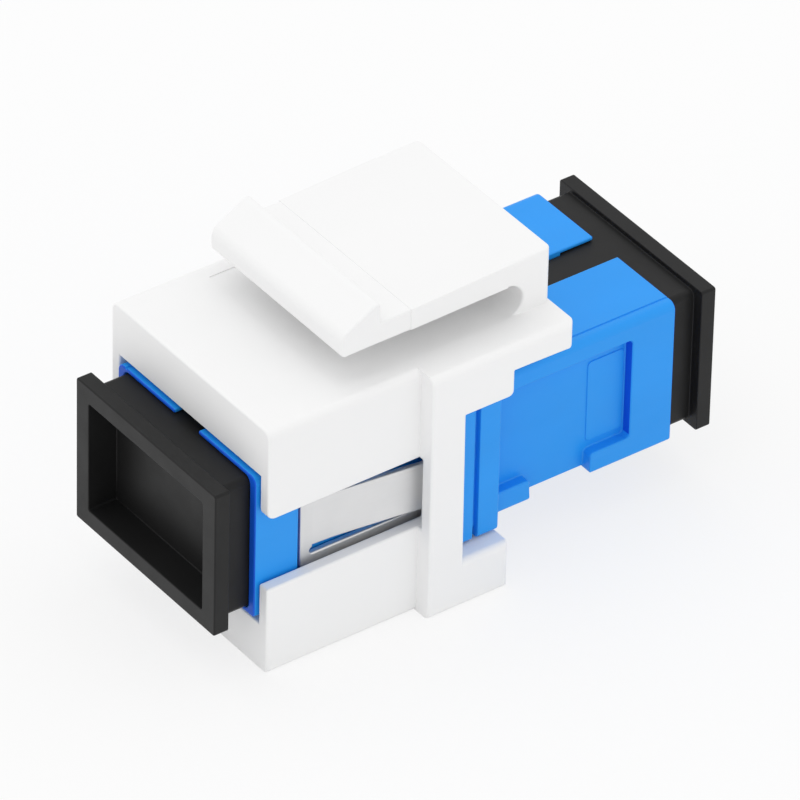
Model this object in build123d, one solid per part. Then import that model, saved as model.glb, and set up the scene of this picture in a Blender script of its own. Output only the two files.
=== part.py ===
from build123d import *
import os

os.makedirs("parts", exist_ok=True)

# Fibre keystone jack: a snap-in housing that holds a simplex fibre adapter, with a dust cap in each port.
# Millimetres. X runs across, -Y is the front, Z is up. The origin is on the floor, under the centre
# of the adapter, whose two halves meet at Y = 0. A "reach" is a distance from that plane along Y.

# Adapter outside
adapter_width = 12.7
adapter_height = 9.25
adapter_reach = 13.9
adapter_top_radius = 0.6
adapter_bottom_radius = 0.25
mouth_edge_radius = 0.18
flange_side_rise = 0.95
flange_top_rise = 0.175
flange_reach = 1.55
flange_radius = 0.3
seam_groove_reach = 0.17
seam_groove_depth = 0.4

# Adapter inside
channel_width = 9.1
channel_height = 7.5
channel_radius = 0.3
mouth_side_wall = 0.55
mouth_top_wall = 0.36
mouth_depth = 2.2
mouth_radius = 0.4
clip_seat_lip_side = 0.45
clip_seat_lip_top = 0.25
clip_seat_depth = 1.0
key_slot_width = 2.2
key_slot_reach = 5.2
key_slot_radius = 0.3

# Recesses for the retention clip, in the adapter's sides and bottom
recess_depth = 0.65
recess_length = 9.5
recess_top = 3.32
recess_radius = 0.25
foot_radius = 0.28
tab_length = 2.8
tab_height = 1.4
strap_recess_length = 4.05
strap_recess_depth = 0.3
label_pad_length = 2.42
label_pad_height = 5.28
label_pad_drop = 0.8
label_pad_relief = 0.07

# Keystone housing
block_width = 14.5
collar_width = 16.7
collar_wall = 2.23
ledge_height = 3.0
roof_overhang = 4.0
roof_thickness = 1.6
roof_step_height = 1.62
mouth_stand_out = 0.2
top_edge_radius = 0.5
bottom_edge_radius = 0.3
ledge_edge_radius = 0.4
roof_corner_radius = 0.35
roof_plan_radius = 0.5
ledge_plan_radius = 0.4
root_plan_radius = 0.4
side_slot_height = 4.6
side_slot_radius = 0.5
leaf_pocket_depth = 0.73
leaf_pocket_wall = 0.85

# Latch on the roof
latch_width = 12.06
latch_length = 10.86
latch_root_length = 2.85
latch_lift = 1.98
latch_nose_lift = 1.8
latch_root_thickness = 1.46
latch_root_rise = 0.11
latch_shoulder_thickness = 1.33
latch_nose_height = 1.36
head_length = 4.49
head_inset = 0.06
tooth_height = 1.22
tooth_flat = 0.3
tooth_radius = 0.15
nose_top_radius = 0.45
nose_bottom_radius = 0.3
panel_gap = 1.82
under_latch_recess = 0.15
root_edge_radius = 0.15

# Retention clip
clip_sheet = 0.4
clip_front_strip = 0.97
clip_rear_strip = 0.95
clip_lower_strip = 1.1
clip_upper_strip = 1.1
clip_corner_radius = 0.4
clip_bend_radius = 0.2
leaf_height = 3.0
leaf_flare = 0.8
leaf_relief_radius = 0.19
leaf_root_bend_length = 1.4
leaf_root_bend_rise = 0.14
leaf_tip_length = 0.9
leaf_tip_rise = 0.06

# Dust caps
cap_stand_out = 2.65
cap_rim_width = 12.9
cap_rim_height = 9.3
cap_rim_thickness = 0.95
cap_rim_radius = 0.35
cap_rim_edge = 0.12
cap_recess_side_wall = 1.16
cap_recess_top_wall = 1.09
cap_recess_depth = 1.85
cap_recess_radius = 0.3
cap_web = 1.0
cap_plug_wall = 0.9
cap_key_width = 2.0

# Inner clips and alignment sleeve
ferrule_diameter = 2.499
sleeve_wall = 0.35
sleeve_length = 11.4
sleeve_slit = 0.5
barrel_wall = 0.8
barrel_lip = 0.22
barrel_lip_step = 0.15
hook_spread = 7.9
hook_thickness = 0.75
hook_width = 3.4
hook_reach = 7.2
hook_nose = 0.5
hook_nose_length = 1.1

# Clearances
bore_side_gap = 0.15
ledge_gap = 0.13
roof_gap = 0.05
flange_seat_gap = 0.05
clip_gap = 0.1
strap_gap = 0.045
leaf_end_gap = 0.1
cap_fit_gap = 0.045
cap_seat_gap = 0.05
cap_tip_gap = 0.3
inner_clip_gap = 0.05
centre_gap = 0.02
sleeve_radial_gap = 0.05
sleeve_end_gap = 0.03
latch_cut_gap = 0.02
cut_margin = 2.0

# Heights and depths worked out from the sizes above
flange_width = adapter_width + 2 * flange_side_rise
flange_height = adapter_height + 2 * flange_top_rise
axis_height = ledge_height + ledge_gap + flange_height / 2
bore_top = axis_height + flange_height / 2 + roof_gap
housing_height = bore_top + roof_step_height + roof_thickness
adapter_bottom = axis_height - adapter_height / 2
front_reach = adapter_reach - mouth_stand_out
seat_reach = flange_reach + flange_seat_gap
collar_reach = seat_reach + collar_wall
roof_reach = flange_reach + roof_overhang
recess_reach = flange_reach + recess_length
recess_floor = adapter_width / 2 - recess_depth
tab_reach = flange_reach + tab_length
strap_recess_reach = tab_reach + strap_recess_length
mouth_step_reach = adapter_reach - mouth_depth
cap_reach = adapter_reach + cap_stand_out
cut_reach = roof_reach - latch_root_length


def cross_plane(y):
    """Plane across the jack at depth y, centred on the adapter's axis, with its own up along Z."""
    return Plane(origin=(0, y, axis_height), x_dir=(-1, 0, 0), z_dir=(0, 1, 0))


def bar(width, height, radius, y_from, y_to):
    """Bar along Y with a rounded rectangular section, centred on the adapter's axis."""
    section = RectangleRounded(width, height, radius)
    return extrude(cross_plane(y_from) * section, amount=y_to - y_from)


def slab(x_from, x_to, y_from, y_to, z_from, z_to):
    """Plain cutting block between six limits."""
    corner = Location((x_from, y_from, z_from))
    size = (x_to - x_from, y_to - y_from, z_to - z_from)
    return corner * Box(*size, align=(Align.MIN, Align.MIN, Align.MIN))


def rounded_section(width, height, top_radius, bottom_radius):
    """Rectangle whose two upper and two lower corners have their own radii."""
    section = Rectangle(width, height)
    section = fillet(section.vertices().group_by(Axis.Y)[-1], top_radius)
    return fillet(section.vertices().group_by(Axis.Y)[0], bottom_radius)


def outline(points):
    """Closed face through a list of points."""
    return make_face(Polyline(*points, close=True))


def round_corner(face, point, radius):
    """Round the corner of a flat face that lies nearest to a point."""
    corner = face.vertices().sort_by_distance((*point, 0))[0]
    return fillet(corner, radius)


def side_prism(face, width):
    """Extrude a face drawn in Y and Z to both sides of the centre plane."""
    return extrude(Plane.YZ * face, amount=width / 2, both=True)


def round_corners_in_plan(solid, x, y, radius, z_from, z_to):
    """Round the two upright rear corners of a solid at (x, y) and (-x, y) between two heights."""
    square = slab(x - radius, x + cut_margin, y - radius, y + cut_margin, z_from, z_to)
    post = Location((x - radius, y - radius, (z_from + z_to) / 2)) * Cylinder(radius, z_to - z_from)
    cutter = square - post
    return solid - (cutter + mirror(cutter, about=Plane.YZ))


def long_edges(solid, x, z):
    """Edges along Y that lie at the given distance from the centre plane and height."""
    edges = solid.edges().filter_by(Axis.Y)
    return [e for e in edges if abs(abs(e.center().X) - x) < 0.01 and abs(e.center().Z - z) < 0.01]


# Keystone housing
def make_block():
    """Front block: rounded section from the front face to the collar."""
    section = rounded_section(block_width, housing_height, top_edge_radius, bottom_edge_radius)
    plane = Plane(origin=(0, -front_reach, housing_height / 2), x_dir=(-1, 0, 0), z_dir=(0, 1, 0))
    return extrude(plane * section, amount=front_reach - collar_reach)


def make_collar():
    """Collar with its bottom ledge and stepped roof, from one side outline."""
    ledge_end = flange_reach + centre_gap
    roof_under = housing_height - roof_thickness
    face = outline([
        (-collar_reach, 0), (ledge_end, 0), (ledge_end, ledge_height),
        (-seat_reach, ledge_height), (-seat_reach, bore_top), (ledge_end, bore_top),
        (ledge_end, roof_under), (roof_reach, roof_under), (roof_reach, housing_height),
        (-collar_reach, housing_height),
    ])
    face = round_corner(face, (ledge_end, bore_top), roof_corner_radius)
    face = round_corner(face, (roof_reach, roof_under), roof_corner_radius)
    collar = side_prism(face, collar_width)
    half = collar_width / 2
    collar = fillet(long_edges(collar, half, housing_height), top_edge_radius)
    collar = fillet(long_edges(collar, half, 0), bottom_edge_radius)
    collar = fillet(long_edges(collar, half, ledge_height), ledge_edge_radius)
    above = housing_height + cut_margin
    collar = round_corners_in_plan(collar, half, roof_reach, roof_plan_radius, bore_top, above)
    return round_corners_in_plan(collar, half, ledge_end, ledge_plan_radius, -cut_margin, ledge_height)


def make_latch_root():
    """Block at the rear of the roof that carries the latch, hollowed by the round end of its slot."""
    base = housing_height - under_latch_recess
    arm_bottom = housing_height + latch_lift
    top = arm_bottom + latch_root_thickness
    rear_top = top + latch_root_rise
    face = outline([(cut_reach, base), (roof_reach, base), (roof_reach, rear_top), (cut_reach, top)])
    face = round_corner(face, (roof_reach, rear_top), root_edge_radius)
    slot_radius = (arm_bottom - base) / 2
    face -= Location((cut_reach, base + slot_radius)) * Circle(slot_radius)
    root = side_prism(face, latch_width)
    return round_corners_in_plan(root, latch_width / 2, roof_reach, root_plan_radius,
                                 housing_height, rear_top + cut_margin)


def side_slot_cutters():
    """Open slots in both side walls, each with a pocket in the collar for the clip's leaf."""
    bore_half = adapter_width / 2 + bore_side_gap
    outer = block_width / 2 + cut_margin
    low = axis_height - side_slot_height / 2
    high = axis_height + side_slot_height / 2
    start = -front_reach - cut_margin
    face = outline([(start, low), (-collar_reach, low), (-collar_reach, high), (start, high)])
    front_top = slab(0, outer, start, -front_reach + side_slot_radius, high, high + side_slot_radius)
    round_off = Location((0, -front_reach + side_slot_radius, high + side_slot_radius))
    roller = round_off * Rotation(0, 90, 0) * Cylinder(side_slot_radius, 2 * outer + cut_margin)
    slot = extrude(Plane.YZ * face, amount=outer) + (front_top - roller)
    pocket_end = -collar_reach + leaf_pocket_depth
    pocket = slab(bore_half - cut_margin, collar_width / 2 - leaf_pocket_wall,
                  -collar_reach - cut_margin, pocket_end, low, high)
    pocket_front = slab(0, collar_width, -front_reach, -collar_reach, low, high)
    cutter = slot + (pocket - pocket_front)
    return cutter + mirror(cutter, about=Plane.YZ)


def make_housing():
    """The white moulding without its flexing arm."""
    housing = make_block() + make_collar() + make_latch_root()
    bore_half = adapter_width / 2 + bore_side_gap
    bore = slab(-bore_half, bore_half, -front_reach - cut_margin, flange_reach, ledge_height, bore_top)
    latch_half = latch_width / 2
    nose_y = cut_reach - latch_length
    recess = slab(-latch_half, latch_half, nose_y - under_latch_recess, cut_reach,
                  housing_height - under_latch_recess, housing_height + cut_margin)
    return housing - bore - recess - side_slot_cutters()


def make_latch_arm():
    """Flexing arm: a tapered beam with a stepped head, a ramped tooth and a blunt nose."""
    root_y = cut_reach - latch_cut_gap
    nose_y = cut_reach - latch_length
    shoulder_y = nose_y + head_length
    tooth_y = -collar_reach - panel_gap
    root_bottom = housing_height + latch_lift
    nose_bottom = housing_height + latch_nose_lift
    root_top = root_bottom + latch_root_thickness
    bottom_slope = (root_bottom - nose_bottom) / latch_length
    shoulder_bottom = nose_bottom + bottom_slope * head_length
    shoulder_top = shoulder_bottom + latch_shoulder_thickness
    beam = outline([(shoulder_y, shoulder_bottom), (root_y, root_bottom),
                    (root_y, root_top), (shoulder_y, shoulder_top)])
    head_top = shoulder_top - head_inset / 2
    peak = head_top + tooth_height
    head = outline([
        (nose_y, nose_bottom), (shoulder_y, shoulder_bottom), (shoulder_y, head_top),
        (tooth_y, head_top), (tooth_y, peak), (tooth_y - tooth_flat, peak),
        (nose_y, nose_bottom + latch_nose_height),
    ])
    head = round_corner(head, (tooth_y - tooth_flat, peak), tooth_radius)
    head = round_corner(head, (tooth_y, peak), tooth_radius)
    head = round_corner(head, (nose_y, nose_bottom + latch_nose_height), nose_top_radius)
    head = round_corner(head, (nose_y, nose_bottom), nose_bottom_radius)
    arm = side_prism(beam, latch_width)
    return arm + side_prism(head, latch_width - 2 * head_inset)


# Fibre adapter
def recess_outline():
    """Side view of the clip recess: open to the bottom between the front tab and the rear step."""
    floor = adapter_bottom + tab_height
    top = axis_height + recess_top
    below = adapter_bottom - cut_margin
    face = outline([
        (flange_reach, floor), (tab_reach, floor), (tab_reach, below),
        (strap_recess_reach, below), (strap_recess_reach, floor), (recess_reach, floor),
        (recess_reach, top), (flange_reach, top),
    ])
    for point in [(tab_reach, floor), (strap_recess_reach, floor), (recess_reach, floor), (recess_reach, top)]:
        face = round_corner(face, point, recess_radius)
    return face


def strap_recess_outline():
    """Side view of the recess under the adapter, with its two lower corners flared by a radius."""
    low = adapter_bottom - cut_margin
    ends = (tab_reach, strap_recess_reach)
    floor = adapter_bottom + strap_recess_depth
    face = outline([(ends[0], low), (ends[1], low), (ends[1], floor), (ends[0], floor)])
    for end, way in zip(ends, (-1, 1)):
        outer = end + way * foot_radius
        top = adapter_bottom + foot_radius
        flare = outline([(end, low), (outer, low), (outer, top), (end, top)])
        face += flare - Location((outer, top)) * Circle(foot_radius)
    return face


def make_adapter_half():
    """Rear half of the adapter. The front half is the same moulding turned round."""
    shell_section = rounded_section(adapter_width, adapter_height, adapter_top_radius, adapter_bottom_radius)
    shell = extrude(cross_plane(seam_groove_reach) * shell_section, amount=adapter_reach - seam_groove_reach)
    shell = fillet(shell.faces().sort_by(Axis.Y)[-1].edges(), mouth_edge_radius)
    half = shell + bar(flange_width, flange_height, flange_radius, seam_groove_reach, flange_reach)
    half += bar(flange_width - 2 * seam_groove_depth, flange_height - 2 * seam_groove_depth,
                flange_radius, 0, seam_groove_reach)

    half -= bar(channel_width, channel_height, channel_radius, -cut_margin, adapter_reach + cut_margin)
    half -= bar(channel_width + 2 * clip_seat_lip_side, channel_height + 2 * clip_seat_lip_top,
                channel_radius, -cut_margin, clip_seat_depth)
    half -= bar(adapter_width - 2 * mouth_side_wall, adapter_height - 2 * mouth_top_wall,
                mouth_radius, mouth_step_reach, adapter_reach + cut_margin)

    slot_end = adapter_reach + cut_margin
    slot_middle = (key_slot_reach + slot_end) / 2
    slot_face = RectangleRounded(key_slot_width, slot_end - key_slot_reach, key_slot_radius)
    slot_place = Location((0, slot_middle, axis_height))
    half -= extrude(slot_place * slot_face, amount=adapter_height)

    side_cut = extrude(Plane.YZ.offset(recess_floor) * recess_outline(), amount=recess_depth + cut_margin)
    half -= side_cut + mirror(side_cut, about=Plane.YZ)
    half -= side_prism(strap_recess_outline(), adapter_width + cut_margin)

    pad_face = RectangleRounded(label_pad_length, label_pad_height, recess_radius)
    pad_y = recess_reach - recess_radius / 2 - label_pad_length / 2
    pad_z = axis_height + recess_top - label_pad_drop - label_pad_height / 2
    pad = extrude(Plane.YZ.offset(recess_floor) * Location((pad_y, pad_z)) * pad_face, amount=label_pad_relief)
    return half + pad


# Retention clip
def make_clip_leaf():
    """Leaf that flares out of the side plate through the housing's slot into the collar's pocket."""
    outer = recess_floor + clip_gap + clip_sheet
    root_y = -recess_reach + clip_gap + clip_front_strip
    tip_y = -collar_reach + leaf_pocket_depth - leaf_end_gap
    tip_x = outer + leaf_flare
    knee_y = tip_y - leaf_tip_length
    knee_x = tip_x - leaf_tip_rise
    bend_y = root_y + leaf_root_bend_length
    bend_x = outer + leaf_root_bend_rise
    tip_slope = leaf_tip_rise / leaf_tip_length
    overlap_y = root_y - clip_sheet / 2
    edge = Line((outer, overlap_y), (outer, root_y))
    edge += Spline((outer, root_y), (bend_x, bend_y), (knee_x, knee_y), (tip_x, tip_y),
                   tangents=[(0, 1), (tip_slope, 1)])
    inner_edge = Location((-clip_sheet, 0)) * edge
    root_line = Line((outer - clip_sheet, overlap_y), (outer, overlap_y))
    tip_line = Line((tip_x - clip_sheet, tip_y), (tip_x, tip_y))
    face = make_face((edge + inner_edge + root_line + tip_line).edges())
    return extrude(Location((0, 0, axis_height - leaf_height / 2)) * face, amount=leaf_height)


def make_retention_clip():
    """Sheet clip: a strap under the adapter, and a windowed plate with a leaf on each side."""
    inner = recess_floor + clip_gap
    front_y = -recess_reach + clip_gap
    rear_y = -flange_reach - clip_gap
    low = adapter_bottom + tab_height + clip_gap
    high = axis_height + recess_top - clip_gap
    plate = Location(((front_y + rear_y) / 2, (low + high) / 2)) * RectangleRounded(
        rear_y - front_y, high - low, clip_corner_radius)
    window_front = front_y + clip_front_strip
    window_rear = rear_y - clip_rear_strip
    window_low = low + clip_lower_strip
    window_high = high - clip_upper_strip
    window = Location(((window_front + window_rear) / 2, (window_low + window_high) / 2)) * RectangleRounded(
        window_rear - window_front, window_high - window_low, leaf_relief_radius)
    plate -= window
    for z in (window_low + leaf_relief_radius, window_high - leaf_relief_radius):
        plate -= Location((window_front, z)) * Circle(leaf_relief_radius)
    side = extrude(Plane.YZ.offset(inner) * plate, amount=clip_sheet) + make_clip_leaf()

    strap_from = -strap_recess_reach + clip_gap
    strap_length = strap_recess_length - 2 * clip_gap
    strap_top = adapter_bottom + strap_recess_depth - strap_gap
    strap_bottom = strap_top - clip_sheet
    join_height = low + clip_lower_strip / 2
    outside = outline([(-inner - clip_sheet, strap_bottom), (inner + clip_sheet, strap_bottom),
                       (inner + clip_sheet, join_height), (-inner - clip_sheet, join_height)])
    inside = outline([(-inner, strap_top), (inner, strap_top),
                      (inner, join_height + cut_margin), (-inner, join_height + cut_margin)])
    for x in (-inner, inner):
        inside = round_corner(inside, (x, strap_top), clip_bend_radius)
    for x in (-inner - clip_sheet, inner + clip_sheet):
        outside = round_corner(outside, (x, strap_bottom), clip_bend_radius + clip_sheet)
    strap_plane = Plane(origin=(0, strap_from + strap_length, 0), x_dir=(1, 0, 0), z_dir=(0, -1, 0))
    strap = extrude(strap_plane * (outside - inside), amount=strap_length)
    return strap + side + mirror(side, about=Plane.YZ)


# Inner clip and sleeve
def make_inner_clip():
    """Rear inner clip: seat plate, half of the sleeve's barrel and two hooks for the plug."""
    plate = bar(channel_width + 2 * clip_seat_lip_side - 2 * inner_clip_gap,
                channel_height + 2 * clip_seat_lip_top - 2 * inner_clip_gap,
                channel_radius, centre_gap, clip_seat_depth - inner_clip_gap / 2)
    sleeve_radius = ferrule_diameter / 2 + sleeve_wall
    barrel_bore = sleeve_radius + sleeve_radial_gap
    lip_start = sleeve_length / 2 + sleeve_end_gap
    lip_end = lip_start + barrel_lip
    barrel = extrude(cross_plane(centre_gap) * Circle(barrel_bore + barrel_wall), amount=lip_end - centre_gap)
    bore = extrude(cross_plane(-cut_margin) * Circle(barrel_bore), amount=lip_start + cut_margin)
    lip_bore = extrude(cross_plane(0) * Circle(barrel_bore - barrel_lip_step), amount=lip_end + cut_margin)
    arm_root = clip_seat_depth / 2
    outer = hook_spread / 2
    inner = outer - hook_thickness
    catch = hook_reach - hook_nose_length
    face = outline([
        (inner, arm_root), (outer, arm_root), (outer, hook_reach - hook_nose / 2),
        (outer - hook_nose / 2, hook_reach), (inner, hook_reach),
        (inner - hook_nose, hook_reach - hook_nose), (inner - hook_nose, catch + hook_nose / 2),
        (inner, catch),
    ])
    hook = extrude(Location((0, 0, axis_height)) * face, amount=hook_width / 2, both=True)
    hooks = hook + mirror(hook, about=Plane.YZ)
    return plate + barrel + hooks - bore - lip_bore


def make_sleeve():
    """Split sleeve: a thin tube with one slit along its top."""
    inner = ferrule_diameter / 2
    section = Circle(inner + sleeve_wall) - Circle(inner)
    section -= Location((0, inner)) * Rectangle(sleeve_slit, 4 * sleeve_wall)
    return extrude(cross_plane(-sleeve_length / 2) * section, amount=sleeve_length)


# Dust cap
def make_dust_cap():
    """Rear dust cap: dished rim, neck that fits the mouth, and a hollow keyed plug."""
    rim_back = cap_reach - cap_rim_thickness
    rim = bar(cap_rim_width, cap_rim_height, cap_rim_radius, rim_back, cap_reach)
    rim = fillet(rim.faces().sort_by(Axis.Y)[-1].edges(), cap_rim_edge)
    neck_width = adapter_width - 2 * mouth_side_wall - 2 * cap_fit_gap
    neck_height = adapter_height - 2 * mouth_top_wall - 2 * cap_fit_gap
    neck_start = mouth_step_reach + cap_seat_gap
    plug_start = hook_reach + cap_tip_gap
    neck = bar(neck_width, neck_height, mouth_radius, neck_start, rim_back)
    plug_width = channel_width - 2 * cap_fit_gap
    plug_height = channel_height - 2 * cap_fit_gap
    plug = bar(plug_width, plug_height, channel_radius, plug_start, neck_start)
    half_key = cap_key_width / 2
    key = slab(-half_key, half_key, key_slot_reach + cap_tip_gap, neck_start,
               axis_height + plug_height / 2 - cap_plug_wall, axis_height + neck_height / 2)
    recess = bar(cap_rim_width - 2 * cap_recess_side_wall, cap_rim_height - 2 * cap_recess_top_wall,
                 cap_recess_radius, cap_reach - cap_recess_depth, cap_reach + cut_margin)
    hollow_end = cap_reach - cap_recess_depth - cap_web
    hollow = bar(plug_width - 2 * cap_plug_wall, plug_height - 2 * cap_plug_wall,
                 channel_radius, plug_start - cut_margin, hollow_end)
    return rim + neck + plug + key - recess - hollow


# Build and write every piece
def turned(solid):
    """The same piece turned round to face the other way."""
    return solid.rotate(Axis.Z, 180)


adapter_half = make_adapter_half()
inner_clip = make_inner_clip()
dust_cap = make_dust_cap()

pieces = {
    "keystone_housing": make_housing(),
    "latch_arm": make_latch_arm(),
    "adapter_front_body": turned(adapter_half),
    "adapter_rear_body": adapter_half,
    "retention_clip": make_retention_clip(),
    "front_inner_clip": turned(inner_clip),
    "rear_inner_clip": inner_clip,
    "alignment_sleeve": make_sleeve(),
    "front_dust_cap": turned(dust_cap),
    "rear_dust_cap": dust_cap,
}

for name, solid in pieces.items():
    export_step(solid, f"parts/{name}.step")
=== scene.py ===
import logging
import math
from collections.abc import Iterator
from contextlib import contextmanager
from dataclasses import dataclass, field
from enum import Enum

import bmesh
import bpy
from mathutils import Matrix, Vector


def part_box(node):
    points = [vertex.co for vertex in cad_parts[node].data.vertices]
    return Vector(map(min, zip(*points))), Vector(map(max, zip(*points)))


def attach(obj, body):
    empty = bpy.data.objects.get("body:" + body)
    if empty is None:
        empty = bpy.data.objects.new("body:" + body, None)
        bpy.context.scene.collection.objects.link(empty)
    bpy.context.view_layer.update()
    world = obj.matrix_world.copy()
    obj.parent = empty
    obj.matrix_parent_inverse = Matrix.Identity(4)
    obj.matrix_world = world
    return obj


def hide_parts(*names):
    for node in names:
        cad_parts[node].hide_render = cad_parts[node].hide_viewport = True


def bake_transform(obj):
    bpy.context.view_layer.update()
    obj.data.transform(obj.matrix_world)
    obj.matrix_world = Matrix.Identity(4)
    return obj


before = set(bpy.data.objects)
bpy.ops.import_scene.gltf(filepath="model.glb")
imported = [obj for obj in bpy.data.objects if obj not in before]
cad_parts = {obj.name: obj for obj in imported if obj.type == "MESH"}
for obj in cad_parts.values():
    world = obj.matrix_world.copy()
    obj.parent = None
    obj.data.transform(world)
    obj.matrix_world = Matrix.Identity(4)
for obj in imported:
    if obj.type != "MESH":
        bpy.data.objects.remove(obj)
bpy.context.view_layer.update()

MM = 0.001
LOG = logging.getLogger("fiber_keystone_jack")

# Millimetres and degrees
PORT_AXIS = 7.93  # height of the axis that both ports share
ROOF = 16.0  # height of the housing's top
RECESS = 0.05  # depth of the step in the housing's top under the latch
FAR = 99.0  # further out than any edge
CLEAR = 1.0  # how far a cutter stands out of what it cuts
TRIM = 0.1  # the same where another part of the piece is near
OVERLAP = 0.5  # how far two joined shapes reach into each other
SLACK = 0.02  # how far an edge may lie from where a rule looks for it
MERGE = 0.0005  # distance below which two vertices are one
SLIVER = 0.002  # length below which an edge is dropped
FLAT_ANGLE = 0.3  # largest angle inside a flat face
SHARP_ANGLE = 25.0  # smallest angle of an edge that is rounded

Point = tuple[float, float]
Outline = list[Point]
Range = tuple[float, float]
Triple = tuple[float, float, float]
Thing = bpy.types.Object
Socket = bpy.types.NodeSocket
Material = bpy.types.Material
EVERYWHERE: Range = (-FAR, FAR)


class Axis(Enum):
    """Direction along which an outline is pushed."""

    X = 0
    Y = 1
    Z = 2


class Facing(Enum):
    """Way a port looks out of the jack, as the sign of its Y."""

    FRONT = -1
    REAR = 1


def node_box(node: str) -> tuple[Vector, Vector]:
    """Give a CAD node's lowest and highest corners in millimetres."""
    low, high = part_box(node)
    return Vector(low) / MM, Vector(high) / MM


def placed(name: str, data: bpy.types.ID) -> Thing:
    """Put data into the scene as an object.

    Args:
        name: The object's name.
        data: Its mesh, camera or lamp.

    Returns:
        The linked object.
    """
    made = bpy.data.objects.new(name, data)
    bpy.context.scene.collection.objects.link(made)
    return made


@contextmanager
def opened(data: bpy.types.Mesh) -> Iterator[bmesh.types.BMesh]:
    """Open a mesh for editing and write it back at the end.

    Args:
        data: The mesh.

    Yields:
        Its editable form.
    """
    mesh = bmesh.new()
    mesh.from_mesh(data)
    yield mesh
    mesh.to_mesh(data)
    mesh.free()


# Outlines, in millimetres
def rectangle(a: Range, b: Range) -> Outline:
    """Give the four corners of a rectangle from its two ranges."""
    return [(a[0], b[0]), (a[1], b[0]), (a[1], b[1]), (a[0], b[1])]


def arc(centre: Point, radius: float, start: float, end: float, steps: int) -> Outline:
    """Give points along a circular arc.

    Args:
        centre: Middle of the circle.
        radius: Its radius.
        start: First angle in degrees.
        end: Last angle in degrees.
        steps: Number of straight steps along the arc.

    Returns:
        The points, both ends included.
    """
    angles = [math.radians(start + (end - start) * i / steps) for i in range(steps + 1)]
    return [(centre[0] + radius * math.cos(t), centre[1] + radius * math.sin(t)) for t in angles]


def rounded(outline: Outline, corners: dict[int, float], steps: int = 7) -> Outline:
    """Replace chosen corners of an outline by arcs.

    Args:
        outline: The sharp outline.
        corners: Radius for each corner to round, by its index.
        steps: Number of straight steps on each arc.

    Returns:
        The outline with its rounded corners.
    """
    points: Outline = []
    for index, corner_point in enumerate(outline):
        radius = corners.get(index)
        if not radius:
            points.append(corner_point)
            continue
        here = Vector(corner_point)
        before = (Vector(outline[index - 1]) - here).normalized()
        after = (Vector(outline[(index + 1) % len(outline)]) - here).normalized()
        half = before.angle(after) / 2
        centre = here + (before + after).normalized() * (radius / math.sin(half))
        first = here + before * (radius / math.tan(half)) - centre
        last = here + after * (radius / math.tan(half)) - centre
        turn = first.angle_signed(last)
        for step in range(steps + 1):
            spoke = first.copy()
            spoke.rotate(Matrix.Rotation(-turn * step / steps, 2))
            points.append(tuple(centre + spoke))
    return points


def soft_plate(a: Range, b: Range, radius: float) -> Outline:
    """Give a rectangle with four equal round corners."""
    return rounded(rectangle(a, b), {i: radius for i in range(4)})


# Solids
@dataclass
class Prism:
    """An outline pushed along one axis.

    Attributes:
        axis: The direction of the push.
        outline: Corners in the other two coordinates, in X, Y, Z order, in millimetres.
        span: Where the prism starts and ends along its axis, in millimetres.
    """

    axis: Axis
    outline: Outline
    span: Range

    def place(self, point: Point, depth: float) -> Vector:
        """Put a point of the outline at a depth along the axis, in metres."""
        before = self.axis.value
        return Vector((*point[:before], depth, *point[before:])) * MM

    def build(self) -> Thing:
        """Make the closed prism.

        Returns:
            The scratch object.
        """
        data = bpy.data.meshes.new("scratch")
        count = len(self.outline)
        with opened(data) as mesh:
            rings = [[mesh.verts.new(self.place(p, depth)) for p in self.outline] for depth in self.span]
            mesh.faces.new(rings[0])
            mesh.faces.new(rings[1])
            for i in range(count):
                j = (i + 1) % count
                mesh.faces.new((rings[0][i], rings[0][j], rings[1][j], rings[1][i]))
            bmesh.ops.recalc_face_normals(mesh, faces=mesh.faces)
        return placed("scratch", data)


def across(outline: Outline, half: float) -> Prism:
    """Give a prism along X that reaches as far to the left as to the right."""
    return Prism(Axis.X, outline, (-half, half))


def both_sides(outline: Outline, near: float, far: float) -> list[Prism]:
    """Give two mirrored prisms along X, between two distances from the centre plane."""
    return [Prism(Axis.X, outline, span) for span in ((near, far), (-far, -near))]


def smaller(half: Point, x: float, z: float) -> Point:
    """Take a wall off half a width and off half a height."""
    return (half[0] - x, half[1] - z)


def bar(half: Point, span: Range, top: float = 0.0, low: float | None = None) -> Prism:
    """Give a rectangular bar along the jack, centred on the ports' axis.

    Args:
        half: Half its width and half its height.
        span: Where it starts and ends along the jack.
        top: Radius of its upper corners.
        low: Radius of its lower corners, that of the upper ones if left out.

    Returns:
        The bar.
    """
    low = top if low is None else low
    face = rectangle((-half[0], half[0]), (PORT_AXIS - half[1], PORT_AXIS + half[1]))
    return Prism(Axis.Y, rounded(face, {0: low, 1: low, 2: top, 3: top}), span)


def corner(axis: Axis, point: Point, radius: float, away: tuple[int, int], span: Range) -> Prism:
    """Give the cutter that rounds one long outer corner.

    Args:
        axis: Direction of the corner's edge.
        point: The sharp corner in the other two coordinates.
        radius: The radius to leave.
        away: Sign of the way out of the solid in each of the two coordinates.
        span: Where the rounding starts and ends along the edge.

    Returns:
        The prism to cut away.
    """
    beyond_corner = 0.3
    centre = (point[0] - away[0] * radius, point[1] - away[1] * radius)
    quarter = arc((0.0, 0.0), radius, 0, 90, steps=8)
    curve = [(centre[0] + away[0] * x, centre[1] + away[1] * y) for x, y in quarter]
    outer = (point[0] + away[0] * beyond_corner, point[1] + away[1] * beyond_corner)
    return Prism(axis, [*curve, (centre[0], outer[1]), outer, (outer[0], centre[1])], span)


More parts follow.
